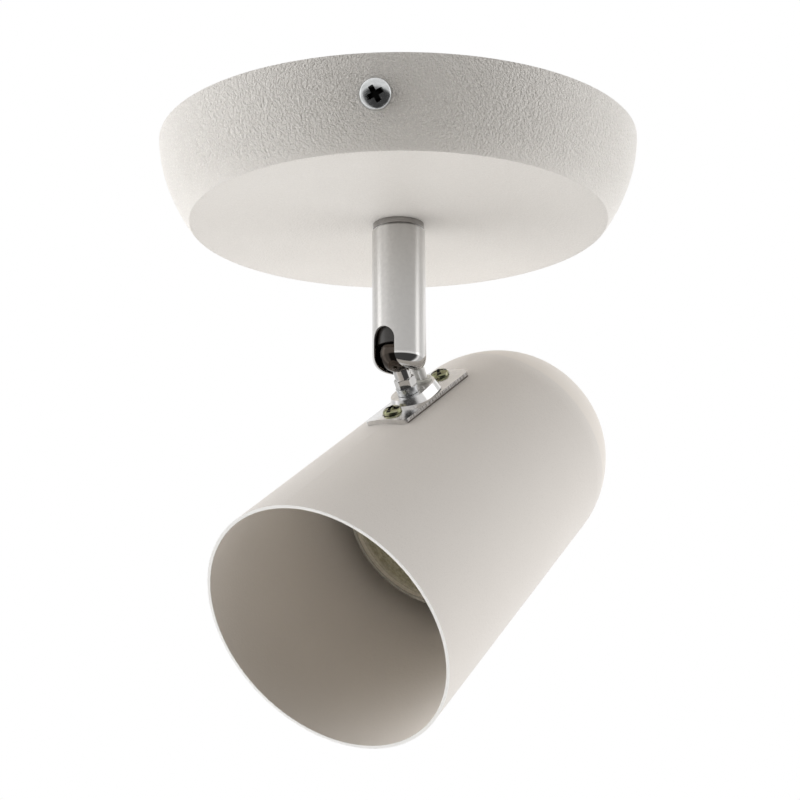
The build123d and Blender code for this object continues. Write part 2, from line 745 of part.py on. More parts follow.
# ---------------------------------------------------------------- lamp
def bowl_curve(inset):
    """Reflector's section from its rim back to the cap."""
    rim_r, neck = lamp_r - inset, cap_r + 1.0 - inset
    rim_z = lamp_face_z - lens_t - 1.0
    neck_z = lamp_base_z + cap_l
    return Bezier((rim_r, 0, rim_z), (rim_r - 0.5, 0, rim_z - 11), (rim_r - 6, 0, neck_z + 8),
                  (neck, 0, neck_z))


def lamp_reflector():
    outer, inner = bowl_curve(0), bowl_curve(lamp_glass)
    rim = lamp_face_z - 0.3
    bowl = turned(outer, Line(outer @ 1, inner @ 1), inner,
                  Line(inner @ 0, (lamp_r - lamp_glass, 0, rim)),
                  Line((lamp_r - lamp_glass, 0, rim), (lamp_r, 0, rim)), Line((lamp_r, 0, rim), outer @ 0))
    return shade_frame * bowl


def lamp_lens():
    """Front glass set inside the reflector's rim, with a raised ring near its edge."""
    edge = lamp_r - lamp_glass - fit_gap
    disc = bar(edge, lamp_face_z - lens_t - 0.6, lamp_face_z - 0.6)
    disc += tube(edge, edge - lens_lip, lamp_face_z - 0.7, lamp_face_z)
    return shade_frame * disc


def lamp_cap():
    low, high = lamp_base_z, lamp_base_z + cap_l
    cap = bar(cap_r, low, high) - bar(cap_r - 2.5, low + 3, high + 1)
    return shade_frame * (chamfer(cap.edges().group_by(Axis.Z)[0], 0.8))


def lamp_pins():
    """Two bayonet pins with wider heads."""
    pin = bar(pin_r, lamp_base_z - pin_l, lamp_base_z)
    pin += bar(pin_head_r, lamp_base_z - pin_l, lamp_base_z - pin_l + pin_head_h)
    return [shade_frame * Rot(0, 0, half) * Pos(0, pin_pitch / 2, 0) * pin for half in (0, 180)]


# ---------------------------------------------------------------- write every piece
pieces = [canopy_cover, ceiling_bracket, cover_screws, terminal_block, terminal_poles, terminal_screws,
          block_screw, earth_screw, earth_washer, stem_collar, stem_tube, stem_bush, threaded_nipple,
          stem_locknut, nut_washer, friction_washer, thrust_pad, pressure_spring, spring_stop, ball_stud,
          stud_lock_washer, pivot_washer, pivot_nut, shade_shell, saddle_plate, saddle_screws,
          saddle_nuts, lamp_carrier, lamp_holder, holder_screws, holder_contacts, lamp_leads,
          lead_grommet, lamp_reflector, lamp_lens, lamp_cap, lamp_pins]

for make in pieces:
    made = make()
    if isinstance(made, list):
        made = Compound(children=made)
    save(made, make.__name__)
    print(make.__name__, len(made.solids()), round(made.volume, 1), made.is_valid)
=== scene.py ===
import json
import math

import bmesh
import bpy
from mathutils import Matrix, Vector


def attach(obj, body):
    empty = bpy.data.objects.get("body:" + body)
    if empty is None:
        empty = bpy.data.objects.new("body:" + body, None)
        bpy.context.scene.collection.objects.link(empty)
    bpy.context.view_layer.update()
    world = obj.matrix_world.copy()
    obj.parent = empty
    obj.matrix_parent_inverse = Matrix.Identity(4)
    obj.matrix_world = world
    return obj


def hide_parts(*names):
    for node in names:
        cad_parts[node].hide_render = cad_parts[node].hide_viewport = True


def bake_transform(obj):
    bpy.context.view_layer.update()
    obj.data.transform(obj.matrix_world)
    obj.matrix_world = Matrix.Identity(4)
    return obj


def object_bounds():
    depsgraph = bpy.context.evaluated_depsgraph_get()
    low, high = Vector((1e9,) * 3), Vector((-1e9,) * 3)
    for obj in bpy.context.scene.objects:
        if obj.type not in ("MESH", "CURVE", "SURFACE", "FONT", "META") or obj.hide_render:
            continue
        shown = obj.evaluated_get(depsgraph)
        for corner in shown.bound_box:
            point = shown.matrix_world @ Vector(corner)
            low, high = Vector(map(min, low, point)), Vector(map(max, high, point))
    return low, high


# Surface mounted ceiling spotlight: looks, lights and camera round the CAD frame.
# Metres, +Z up, ceiling plane at z = 0, front towards -Y.

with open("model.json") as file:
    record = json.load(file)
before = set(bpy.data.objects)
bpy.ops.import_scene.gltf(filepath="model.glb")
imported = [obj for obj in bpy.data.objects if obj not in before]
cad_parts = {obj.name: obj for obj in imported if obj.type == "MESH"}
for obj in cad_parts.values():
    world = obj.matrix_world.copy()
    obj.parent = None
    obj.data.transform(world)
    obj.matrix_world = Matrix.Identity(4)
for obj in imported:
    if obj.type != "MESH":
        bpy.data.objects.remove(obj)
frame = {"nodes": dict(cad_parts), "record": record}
cad_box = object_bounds()
nodes = frame["nodes"]
joints = {joint["name"]: joint for joint in frame["record"]["behaviour"]["joints"]}
MM = 0.001


# ---------------------------------------------------------------- places on the object
def upright_frame(origin, z_axis, x_axis):
    """Matrix of a frame with +Z along z_axis and +X near x_axis."""
    z = Vector(z_axis).normalized()
    x = Vector(x_axis)
    x = (x - z * x.dot(z)).normalized()
    y = z.cross(x)
    m = Matrix((x, y, z)).transposed().to_4x4()
    m.translation = Vector(origin)
    return m


BALL = Vector(joints["ball_tilt"]["pos_m"])
STUD_WAY = Vector(joints["shade_turn"]["axis"])
SHADE_WAY = Vector(joints["lamp_twist"]["axis"])
SHADE_CENTRE = Vector(joints["lamp_twist"]["pos_m"])
shade_place = upright_frame(SHADE_CENTRE, SHADE_WAY, -STUD_WAY)

# sizes in millimetres, the same as the solids' unless a comment says otherwise
CANOPY_R = 70.0
CANOPY_H = 24.8
CANOPY_FLAT_R = 60.9
CANOPY_STRAIGHT = 12.8
SCREW_AZIMUTH = -5.0
SCREW_Z = -11.2
SHADE_FRONT_R = 39.05
SHADE_L = 121.0
SHADE_TAPER = 0.192
SHADE_REACH = 68.4
PLATE_T = 1.4
PLATE_W = 14.4
SADDLE_SCREW_Z = (-16.45, 10.05)
LEAD_R = 1.1
LEAD_Y = 1.15
LEAD_BACK = 7.3
LEAD_DEPTH = 7.6
LAMP_FACE_Z = 15.0
STEM_R = 7.75
STEM_CURL_R = 4.0
STEM_END_Z = -69.2
SLOT_AZIMUTH = -40.0
LAMP_R = 25.0
LAMP_GLASS = 1.2
FIT_GAP = 0.05
LENS_LIP = 1.4

# the cover screws' heads are 0.5 mm more in radius and 0.1 mm higher than the solids', as in the photo
COVER_SCREW = {"radius": 2.0, "length": 9.0, "head_r": 4.5, "head_h": 2.7, "pitch": 0.7}
SADDLE_SCREW = {"radius": 1.5, "length": 7.5, "head_r": 2.8, "head_h": 2.0, "pitch": 0.5}

SLOPE = SHADE_FRONT_R * SHADE_TAPER / SHADE_L    # radius gained per length towards the open end
AXIS_R = SHADE_FRONT_R - SLOPE * SHADE_REACH     # the shade's radius at the stud


def shade_r(z):
    """Outside radius of the shade at a height of its own frame."""
    return AXIS_R + SLOPE * z


def bezier(p0, p1, p2, p3, steps):
    """Points of a cubic curve."""
    points = []
    for k in range(steps + 1):
        t = k / steps
        u = 1 - t
        weights = (u ** 3, 3 * u * u * t, 3 * u * t * t, t ** 3)
        points.append(tuple(sum(w * p for w, p in zip(weights, along)) for along in zip(p0, p1, p2, p3)))
    return points


def arc(centre, radius, start, end, steps):
    """Points (r, z) of an arc between two angles in degrees."""
    turns = [math.radians(start + (end - start) * k / steps) for k in range(steps + 1)]
    return [(centre[0] + radius * math.cos(t), centre[1] + radius * math.sin(t)) for t in turns]


# ---------------------------------------------------------------- node helpers
class Tree:
    """Lays down and joins the nodes of one tree."""

    def __init__(self, tree):
        self.tree = tree

    def feed(self, socket, value):
        """Join an output to a socket, or set the socket to a value."""
        if isinstance(value, bpy.types.NodeSocket):
            self.tree.links.new(value, socket)
        else:
            socket.default_value = value

    def add(self, kind, inputs=None, **settings):
        node = self.tree.nodes.new(kind)
        for name, value in settings.items():
            setattr(node, name, value)
        for name, value in (inputs or {}).items():
            self.feed(node.inputs[name], value)
        return node

    def math(self, operation, a, b=0.0):
        node = self.add("ShaderNodeMath", operation=operation)
        for socket, value in zip(node.inputs, (a, b)):
            self.feed(socket, value)
        return node.outputs[0]

    def span(self, value, low, high, to_low, to_high):
        """Map Range with clamping."""
        return self.add("ShaderNodeMapRange", {"Value": value, "From Min": low, "From Max": high,
                                               "To Min": to_low, "To Max": to_high}).outputs[0]

    def blend(self, mask, colour_a, colour_b):
        """Mix of two colours by a mask."""
        node = self.add("ShaderNodeMix", data_type="RGBA")
        for index, value in ((0, mask), (6, colour_a), (7, colour_b)):
            self.feed(node.inputs[index], value)
        return node.outputs[2]


def new_group(name, inputs, outputs):
    """Shader node group with named sockets; returns it, its tree, its given values and its output node."""
    group = bpy.data.node_groups.new(name, "ShaderNodeTree")
    for label, kind, value in inputs:
        socket = group.interface.new_socket(name=label, in_out="INPUT", socket_type=kind)
        if value is not None:
            socket.default_value = value
    for label, kind in outputs:
        group.interface.new_socket(name=label, in_out="OUTPUT", socket_type=kind)
    t = Tree(group)
    return group, t, t.add("NodeGroupInput").outputs, t.add("NodeGroupOutput")


def make_coat_grain():
    """Powder coat: rounded pebbles of one size, with finer grit and a slow drift of tone."""
    group, t, given, out = new_group(
        "coat_grain",
        [("Vector", "NodeSocketVector", None), ("Pebble Scale", "NodeSocketFloat", 900.0),
         ("Grit", "NodeSocketFloat", 0.3)],
        [("Height", "NodeSocketFloat"), ("Tone", "NodeSocketFloat"), ("Speck", "NodeSocketFloat")])
    pebble = t.add("ShaderNodeTexVoronoi", {"Vector": given["Vector"], "Scale": given["Pebble Scale"],
                                            "Smoothness": 0.7}, feature="SMOOTH_F1").outputs["Distance"]
    swell = t.add("ShaderNodeTexNoise", {"Vector": given["Vector"], "Detail": 2.0, "Roughness": 0.5,
                                         "Scale": t.math("MULTIPLY", given["Pebble Scale"], 0.6)}).outputs[0]
    grit = t.add("ShaderNodeTexNoise", {"Vector": given["Vector"], "Detail": 3.0, "Roughness": 0.6,
                                        "Scale": t.math("MULTIPLY", given["Pebble Scale"], 2.6)}).outputs[0]
    height = t.math("ADD", t.math("MULTIPLY", t.math("SUBTRACT", 1.0, pebble), 0.6), swell)
    height = t.math("ADD", height, t.math("MULTIPLY", grit, given["Grit"]))
    drift = t.add("ShaderNodeTexNoise", {"Vector": given["Vector"], "Scale": 28.0, "Detail": 2.0}).outputs[0]
    t.tree.links.new(height, out.inputs["Height"])
    t.tree.links.new(t.span(drift, 0.3, 0.7, 0.0, 1.0), out.inputs["Tone"])
    t.tree.links.new(t.span(grit, 0.32, 0.45, 1.0, 0.0), out.inputs["Speck"])
    return group


def make_edge_wear():
    """Worn or thinly coated edges from the mesh's curvature, broken up by noise."""
    group, t, given, out = new_group(
        "edge_wear",
        [("Vector", "NodeSocketVector", None), ("Reach", "NodeSocketFloat", 0.08),
         ("Break Scale", "NodeSocketFloat", 700.0)],
        [("Edge", "NodeSocketFloat")])
    point = t.add("ShaderNodeNewGeometry").outputs["Pointiness"]
    edge = t.span(point, 0.5, t.math("ADD", 0.5, given["Reach"]), 0.0, 1.0)
    broken = t.add("ShaderNodeTexNoise", {"Vector": given["Vector"], "Scale": given["Break Scale"],
                                          "Detail": 3.0}).outputs[0]
    t.tree.links.new(t.math("MULTIPLY", edge, t.span(broken, 0.35, 0.65, 0.2, 1.0)), out.inputs["Edge"])
    return group


def make_metal_skin():
    """Plated or turned metal: fine scratches and a cloudy bloom."""
    group, t, given, out = new_group(
        "metal_skin",
        [("Vector", "NodeSocketVector", None), ("Scratch Scale", "NodeSocketFloat", 2500.0),
         ("Cloud Scale", "NodeSocketFloat", 160.0)],
        [("Scratch", "NodeSocketFloat"), ("Cloud", "NodeSocketFloat")])
    stretched = t.add("ShaderNodeMapping", {"Vector": given["Vector"], "Scale": (1.0, 1.0, 0.06)}).outputs[0]
    scratch = t.add("ShaderNodeTexNoise", {"Vector": stretched, "Scale": given["Scratch Scale"],
                                           "Detail": 2.0, "Roughness": 0.7}).outputs[0]
    cloud = t.add("ShaderNodeTexNoise", {"Vector": given["Vector"], "Scale": given["Cloud Scale"],
                                         "Detail": 3.0, "Distortion": 0.6}).outputs[0]
    t.tree.links.new(scratch, out.inputs["Scratch"])
    t.tree.links.new(t.span(cloud, 0.3, 0.7, 0.0, 1.0), out.inputs["Cloud"])
    return group


def make_rings():
    """Concentric grooves round a frame's Z axis, for turned faces and pressed glass."""
    group, t, given, out = new_group(
        "rings",
        [("Vector", "NodeSocketVector", None), ("Pitch", "NodeSocketFloat", 0.001),
         ("Waver", "NodeSocketFloat", 0.0002)],
        [("Groove", "NodeSocketFloat"), ("Radius", "NodeSocketFloat")])
    xyz = t.add("ShaderNodeSeparateXYZ", {"Vector": given["Vector"]}).outputs
    square = t.math("ADD", t.math("MULTIPLY", xyz[0], xyz[0]), t.math("MULTIPLY", xyz[1], xyz[1]))
    radius = t.math("SQRT", square)
    stir = t.add("ShaderNodeTexNoise", {"Vector": given["Vector"], "Scale": 380.0, "Detail": 2.0}).outputs[0]
    moved = t.math("ADD", radius, t.math("MULTIPLY", stir, given["Waver"]))
    wave = t.math("SINE", t.math("MULTIPLY", t.math("DIVIDE", moved, given["Pitch"]), 2 * math.pi))
    t.tree.links.new(t.span(wave, -1.0, 1.0, 0.0, 1.0), out.inputs["Groove"])
    t.tree.links.new(radius, out.inputs["Radius"])
    return group


COAT_GRAIN = make_coat_grain()
EDGE_WEAR = make_edge_wear()
METAL_SKIN = make_metal_skin()
RINGS = make_rings()


def opened(material):
    """A material's tree, its Principled shader and object coordinates."""
    t = Tree(material.node_tree)
    shader = next(n for n in t.tree.nodes if n.type == "BSDF_PRINCIPLED")
    place = t.add("ShaderNodeTexCoord").outputs["Object"]
    return t, shader, place


def new_material(name):
    """Material with a Principled shader; returns it, its tree, the shader and object coordinates."""
    material = bpy.data.materials.new(name)
    material.use_nodes = True
    return (material, *opened(material))


def grouped(t, group, inputs):
    """Outputs of a shared group that is fed these inputs."""
    return t.add("ShaderNodeGroup", inputs, node_tree=group).outputs


def darker(tone):
    """A quarter darker, as an RGBA colour."""
    return tuple(0.75 * c for c in tone) + (1,)


def bump(t, shader, height, strength, distance):
    """Relief on a shader's normal."""
    node = t.add("ShaderNodeBump", {"Strength": strength, "Distance": distance, "Height": height})
    t.tree.links.new(node.outputs[0], shader.inputs["Normal"])


def placed(t, place, node, frame_at_rest):
    """Position on a CAD node, in metres, in a frame of the object at rest."""
    move, turn, size = (frame_at_rest.inverted() @ node.matrix_world).decompose()
    return t.add("ShaderNodeMapping", {"Vector": place, "Location": move, "Rotation": turn.to_euler(),
                                       "Scale": size}).outputs[0]


def axial(t, place):
    """Height along Z and distance from Z."""
    xyz = t.add("ShaderNodeSeparateXYZ", {"Vector": place}).outputs
    square = t.math("ADD", t.math("MULTIPLY", xyz[0], xyz[0]), t.math("MULTIPLY", xyz[1], xyz[1]))
    return xyz[2], t.math("SQRT", square)


def coat(t, shader, place, light, dark, pebble_scale, roughness, grit):
    """Tone, specks and sheen of a powder coat; returns its colour and its relief."""
    grain = grouped(t, COAT_GRAIN, {"Vector": place, "Pebble Scale": pebble_scale, "Grit": grit})
    colour = t.blend(grain["Tone"], (*dark, 1), (*light, 1))
    colour = t.blend(t.math("MULTIPLY", grain["Speck"], 0.3), colour, darker(dark))
    t.tree.links.new(t.span(grain["Height"], 0.6, 1.4, roughness + 0.08, roughness - 0.08),
                     shader.inputs["Roughness"])
    shader.inputs["Specular IOR Level"].default_value = 0.35
    return colour, grain["Height"]


def canopy_powder_coat():
    """Coarse powder coat that is most pebbled on the upright wall."""
    material, t, shader, place = new_material("canopy_powder_coat")
    place = placed(t, place, nodes["canopy_cover"], Matrix.Identity(4))
    colour, relief = coat(t, shader, place, light=(0.86, 0.837, 0.807), dark=(0.83, 0.807, 0.777),
                          pebble_scale=1900.0, roughness=0.42, grit=0.3)
    on_wall = t.span(axial(t, place)[1], 58.5 * MM, 65.0 * MM, 0.25, 1.0)
    fleck = t.add("ShaderNodeTexNoise", {"Vector": place, "Scale": 2400.0, "Detail": 1.0}).outputs[0]
    pale = t.math("MULTIPLY", t.span(fleck, 0.54, 0.64, 0.0, 0.8), on_wall)
    t.tree.links.new(t.blend(pale, colour, (0.96, 0.935, 0.90, 1)), shader.inputs["Base Color"])
    bump(t, shader, relief, on_wall, 0.0005)
    return material


def shade_satin_coat():
    """Fine satin coat, with a painted highlight on the open end's rim and an inside painted lighter and
    warmer as bounce light.
    """
    material, t, shader, place = new_material("shade_satin_coat")
    place = placed(t, place, nodes["shade_shell"], shade_place)
    colour, relief = coat(t, shader, place, light=(0.80, 0.765, 0.73), dark=(0.78, 0.745, 0.71),
                          pebble_scale=1500.0, roughness=0.5, grit=0.5)
    height, radius = axial(t, place)
    from_axis = t.math("SUBTRACT", radius, t.math("MULTIPLY", height, SLOPE))
    # painted light: the inside is painted lighter and warmer than the outside, as bounce light
    inside = t.span(from_axis, (AXIS_R - 0.6) * MM, (AXIS_R - 0.4) * MM, 1.0, 0.0)
    colour = t.blend(inside, colour, (0.83, 0.785, 0.735, 1))
    # painted highlight: the rim of the open end is painted near-white
    rim = t.span(height, (SHADE_REACH - 0.22) * MM, (SHADE_REACH - 0.08) * MM, 0.0, 1.0)
    colour = t.blend(rim, colour, (0.98, 0.98, 0.97, 1))
    t.tree.links.new(colour, shader.inputs["Base Color"])
    bump(t, shader, relief, 0.5, 0.00007)
    return material


def stem_bore_painted_shade(t, place):
    """Mask and tone of painted shade in the stem's bore: its inner wall and the inner side of its curled end,
    unplated and painted near-black.
    """
    height, radius = axial(t, placed(t, place, nodes["stem_tube"], Matrix.Identity(4)))
    out = t.math("MAXIMUM", t.math("SUBTRACT", radius, (STEM_R - STEM_CURL_R) * MM), 0.0)
    below = t.math("MAXIMUM", t.math("SUBTRACT", (STEM_END_Z + STEM_CURL_R) * MM, height), 0.0)
    depth = t.math("SQRT", t.math("ADD", t.math("MULTIPLY", out, out), t.math("MULTIPLY", below, below)))
    return t.span(depth, 3.2 * MM, 3.5 * MM, 1.0, 0.0), (0.05, 0.042, 0.036, 1)


def shear_marks_and_painted_shadow(t, place):
    """Mask and tone of the plate's cut edges: upright marks of the shears, and a painted shadow along the
    foot where the plate meets the shade.
    """
    on_shade = placed(t, place, nodes["saddle_plate"], shade_place)
    xyz = t.add("ShaderNodeSeparateXYZ", {"Vector": on_shade}).outputs
    from_side = t.math("SUBTRACT", t.math("ABSOLUTE", xyz[1]), (PLATE_W / 2 - 0.12) * MM)
    lengthways = t.add("ShaderNodeCombineXYZ", {"Z": xyz[2]}).outputs[0]
    mark = t.add("ShaderNodeTexNoise", {"Vector": lengthways, "Scale": 2600.0, "Detail": 1.0}).outputs[0]
    edge = t.span(from_side, -0.05 * MM, 0.0, 0.0, 1.0)
    height, radius = axial(t, on_shade)
    above_shade = t.math("SUBTRACT", radius, t.math("MULTIPLY", height, SLOPE))
    # painted shadow: the foot of the cut edge is painted dark where the plate meets the shade; the marks are
    # shear marks and this shadow
    painted_foot_shadow = t.span(above_shade, (AXIS_R + 0.3) * MM, (AXIS_R + 0.55) * MM, 1.0, 0.0)
    marks = t.math("MAXIMUM", t.span(mark, 0.44, 0.56, 0.0, 0.85), painted_foot_shadow)
    return t.math("MULTIPLY", edge, marks), (0.13, 0.115, 0.105, 1)


def recess(t, place):
    """Mask and tone of painted shade in a screw's deep cross recess, painted near-black."""
    xyz = t.add("ShaderNodeSeparateXYZ", {"Vector": place}).outputs
    from_x = t.math("ABSOLUTE", xyz[0])
    from_y = t.math("ABSOLUTE", xyz[1])
    in_length = t.span(t.math("MAXIMUM", from_x, from_y), 2.35 * MM, 2.45 * MM, 1.0, 0.0)
    in_width = t.span(t.math("MINIMUM", from_x, from_y), 0.60 * MM, 0.66 * MM, 1.0, 0.0)
    deep = t.span(xyz[2], 1.75 * MM, 1.95 * MM, 1.0, 0.0)
    return t.math("MULTIPLY", t.math("MULTIPLY", in_length, in_width), deep), (0.03, 0.03, 0.028, 1)


def ball_painted_shade(t, place):
    """Mask and tone of painted shade on the ball up to its neck, painted near-black where it sits in the
    stem.
    """
    from_ball = t.add("ShaderNodeVectorMath", {1: BALL}, operation="DISTANCE")
    t.tree.links.new(placed(t, place, nodes["ball_stud"], Matrix.Identity(4)), from_ball.inputs[0])
    return t.span(from_ball.outputs["Value"], 5.03 * MM, 5.1 * MM, 1.0, 0.0), (0.065, 0.054, 0.046, 1)


def metal(name, light, dark, smooth, rough, scratch=2500.0, cloud=160.0, relief=0.00001, tint=None,
          shade_and_marks=None):
    """Bare or plated metal with scratches and bloom; the last argument gives the mask and the tone of a dark
    part, painted shade (on the plate also shear marks).
    """
    material, t, shader, place = new_material(name)
    skin = grouped(t, METAL_SKIN, {"Vector": place, "Scratch Scale": scratch, "Cloud Scale": cloud})
    colour = t.blend(skin["Cloud"], (*dark, 1), (*light, 1))
    if tint:
        hue = t.add("ShaderNodeTexNoise", {"Vector": place, "Scale": 420.0, "Detail": 1.0}).outputs[0]
        colour = t.blend(t.span(hue, 0.42, 0.6, 0.0, 0.8), colour, (*tint, 1))
    worn = grouped(t, EDGE_WEAR, {"Vector": place, "Reach": 0.1, "Break Scale": 900.0})["Edge"]
    bared = tuple(min(1.0, 1.15 * c) for c in light) + (1,)
    colour = t.blend(t.math("MULTIPLY", worn, 0.5), colour, bared)
    if shade_and_marks:
        mask, tone = shade_and_marks(t, place)
        colour = t.blend(mask, colour, tone)
    t.tree.links.new(colour, shader.inputs["Base Color"])
    shader.inputs["Metallic"].default_value = 1.0
    uneven = t.math("ADD", t.math("MULTIPLY", skin["Scratch"], 0.6), t.math("MULTIPLY", skin["Cloud"], 0.4))
    t.tree.links.new(t.span(uneven, 0.25, 0.75, smooth, rough), shader.inputs["Roughness"])
    bump(t, shader, skin["Scratch"], 0.4, relief)
    return material


def lengthways_polish(material):
    """Polishing marks round the stem's tube draw its reflections out along it, down to its curled end."""
    t, shader, place = opened(material)
    height = axial(t, placed(t, place, nodes["stem_tube"], Matrix.Identity(4)))[0]
    curl_top = STEM_END_Z + STEM_CURL_R
    tube = t.span(height, (curl_top - 0.5) * MM, curl_top * MM, 0.0, 1.0)
    t.tree.links.new(t.math("MULTIPLY", tube, 0.95), shader.inputs["Anisotropic"])
    shader.inputs["Anisotropic Rotation"].default_value = 0.25
    fine = shader.inputs["Roughness"].links[0].from_socket
    t.tree.links.new(t.math("ADD", fine, t.math("MULTIPLY", tube, 0.26)), shader.inputs["Roughness"])
    around = t.add("ShaderNodeTangent", direction_type="RADIAL", axis="Z")
    t.tree.links.new(around.outputs[0], shader.inputs["Tangent"])


def moulded(name, light, dark, scale, roughness, relief=0.00004, strength=0.3):
    """Moulded or pressed plastic, ceramic or rubber."""
    material, t, shader, place = new_material(name)
    grain = grouped(t, COAT_GRAIN, {"Vector": place, "Pebble Scale": scale, "Grit": 0.6})
    colour = t.blend(grain["Tone"], (*dark, 1), (*light, 1))
    colour = t.blend(t.math("MULTIPLY", grain["Speck"], 0.25), colour, darker(dark))
    t.tree.links.new(colour, shader.inputs["Base Color"])
    t.tree.links.new(t.span(grain["Tone"], 0.0, 1.0, roughness - 0.06, roughness + 0.06),
                     shader.inputs["Roughness"])
    bump(t, shader, grain["Height"], strength, relief)
    return material


canopy_coat = canopy_powder_coat()
shade_coat = shade_satin_coat()
BRIGHT_CHROME = {"light": (0.66, 0.65, 0.635), "dark": (0.63, 0.62, 0.605), "smooth": 0.03, "rough": 0.06,
                 "relief": 0.000001}
# painted shade: the collar's chrome is painted darker than the stem's
collar_chrome_painted_shade = metal("collar_chrome_painted_shade", (0.34, 0.33, 0.32), (0.30, 0.29, 0.285), 0.05, 0.1, relief=0.000001)
stem_chrome = metal("stem_chrome", **BRIGHT_CHROME, shade_and_marks=stem_bore_painted_shade)
lengthways_polish(stem_chrome)
stud_chrome = metal("stud_chrome", **BRIGHT_CHROME, shade_and_marks=ball_painted_shade)
zinc = metal("bright_zinc", (0.68, 0.69, 0.70), (0.55, 0.56, 0.57), 0.2, 0.4, cloud=420.0)
screw_zinc = metal("screw_zinc", (0.66, 0.67, 0.67), (0.5, 0.51, 0.51), 0.12, 0.28, cloud=420.0, shade_and_marks=recess)
plate_zinc = metal("stamped_zinc_plate", (0.70, 0.69, 0.68), (0.62, 0.61, 0.60), 0.12, 0.24, scratch=900.0,
                   cloud=260.0, relief=0.000006, shade_and_marks=shear_marks_and_painted_shadow)
yellow_zinc = metal("yellow_passivate", (0.40, 0.39, 0.22), (0.20, 0.21, 0.13), 0.1, 0.26, cloud=500.0,
                    tint=(0.30, 0.28, 0.22), shade_and_marks=recess)
spring_steel = metal("drawn_spring_steel", (0.50, 0.50, 0.51), (0.36, 0.36, 0.37), 0.22, 0.42)
brass = metal("turned_brass", (0.80, 0.63, 0.34), (0.66, 0.50, 0.25), 0.18, 0.36)
nylon = moulded("moulded_nylon", (0.86, 0.85, 0.80), (0.80, 0.79, 0.73), 700.0, 0.45)
fibre = moulded("pressed_fibre", (0.42, 0.20, 0.14), (0.30, 0.14, 0.10), 1600.0, 0.75, 0.00008, 0.5)
steatite = moulded("fired_steatite", (0.86, 0.83, 0.76), (0.80, 0.77, 0.70), 1300.0, 0.6, 0.00006, 0.4)
silicone = moulded("silicone_sleeve", (0.93, 0.925, 0.91), (0.89, 0.885, 0.87), 500.0, 0.4)
# painted shade: the thrust pad inside the stem is painted near-black
nylon_painted_shade = moulded("nylon_painted_shade", (0.03, 0.026, 0.023), (0.018, 0.016, 0.014), 700.0, 0.3)


def lamp_glass():
    """Reflector glass with its metallised skin showing through."""
    material, t, shader, place = new_material("metallised_glass")
    skin = grouped(t, METAL_SKIN, {"Vector": place, "Scratch Scale": 900.0, "Cloud Scale": 120.0})
    t.tree.links.new(t.blend(skin["Cloud"], (0.50, 0.50, 0.46, 1), (0.62, 0.62, 0.57, 1)),
                     shader.inputs["Base Color"])
    t.tree.links.new(t.span(skin["Scratch"], 0.3, 0.7, 0.12, 0.26), shader.inputs["Roughness"])
    shader.inputs["Metallic"].default_value = 0.55
    shader.inputs["Coat Weight"].default_value = 0.6
    shader.inputs["Coat Roughness"].default_value = 0.06
    bump(t, shader, skin["Cloud"], 0.3, 0.0001)
    return material


def lamp_face_glass():
    """Pressed front glass with fine concentric rings and a mottled olive cast."""
    material, t, shader, place = new_material("pressed_front_glass")
    rings = grouped(t, RINGS, {"Vector": place, "Pitch": 0.0011, "Waver": 0.0002})
    grain = grouped(t, COAT_GRAIN, {"Vector": place, "Pebble Scale": 1100.0, "Grit": 0.6})
    mottle = t.add("ShaderNodeTexNoise", {"Vector": place, "Scale": 900.0, "Detail": 3.0}).outputs[0]
    colour = t.blend(grain["Tone"], (0.42, 0.395, 0.28, 1), (0.54, 0.51, 0.37, 1))
    colour = t.blend(t.span(mottle, 0.42, 0.6, 0.0, 0.55), colour, (0.27, 0.255, 0.18, 1))
    colour = t.blend(t.math("MULTIPLY", rings["Groove"], 0.18), colour, (0.24, 0.225, 0.165, 1))
    colour = t.blend(t.math("MULTIPLY", grain["Speck"], 0.8), colour, (0.16, 0.15, 0.11, 1))
    rim = t.span(rings["Radius"], 21.3 * MM, 22.5 * MM, 0.0, 0.7)
    colour = t.blend(rim, colour, (0.66, 0.62, 0.53, 1))
    t.tree.links.new(colour, shader.inputs["Base Color"])
    t.tree.links.new(t.span(grain["Height"], 0.6, 1.4, 0.36, 0.2), shader.inputs["Roughness"])
    height = t.math("ADD", t.math("MULTIPLY", rings["Groove"], 0.6), grain["Height"])
    bump(t, shader, height, 0.5, 0.00012)
    return material


reflector_glass = lamp_glass()
face_glass = lamp_face_glass()


# ---------------------------------------------------------------- mesh helpers
def as_mesh(name, bm):
    """Mesh of a bmesh, which is freed."""
    mesh = bpy.data.meshes.new(name)
    bm.to_mesh(mesh)
    bm.free()
    return mesh


def skin_rings(bm, rings):
    """Faces from ring to ring, with both ends closed."""
    for a, b in zip(rings, rings[1:]):
        for k in range(len(a)):
            n = (k + 1) % len(a)
            bm.faces.new((a[k], a[n], b[n], b[k]))
    bm.faces.new(rings[0])
    bm.faces.new(rings[-1])


def finish_mesh(name, mesh, place, body, finish, slot, smooth=35.0):
    """Make the piece's object, shade it smooth up to an angle, and let it ride on a body if one is given."""
    obj = bpy.data.objects.new(name, mesh)
    bpy.context.scene.collection.objects.link(obj)
    obj.matrix_world = place
    mesh.materials.append(finish)
    for polygon in mesh.polygons:
        polygon.use_smooth = True
    mesh.set_sharp_from_angle(angle=math.radians(smooth))
    if body:
        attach(obj, body)
    return obj


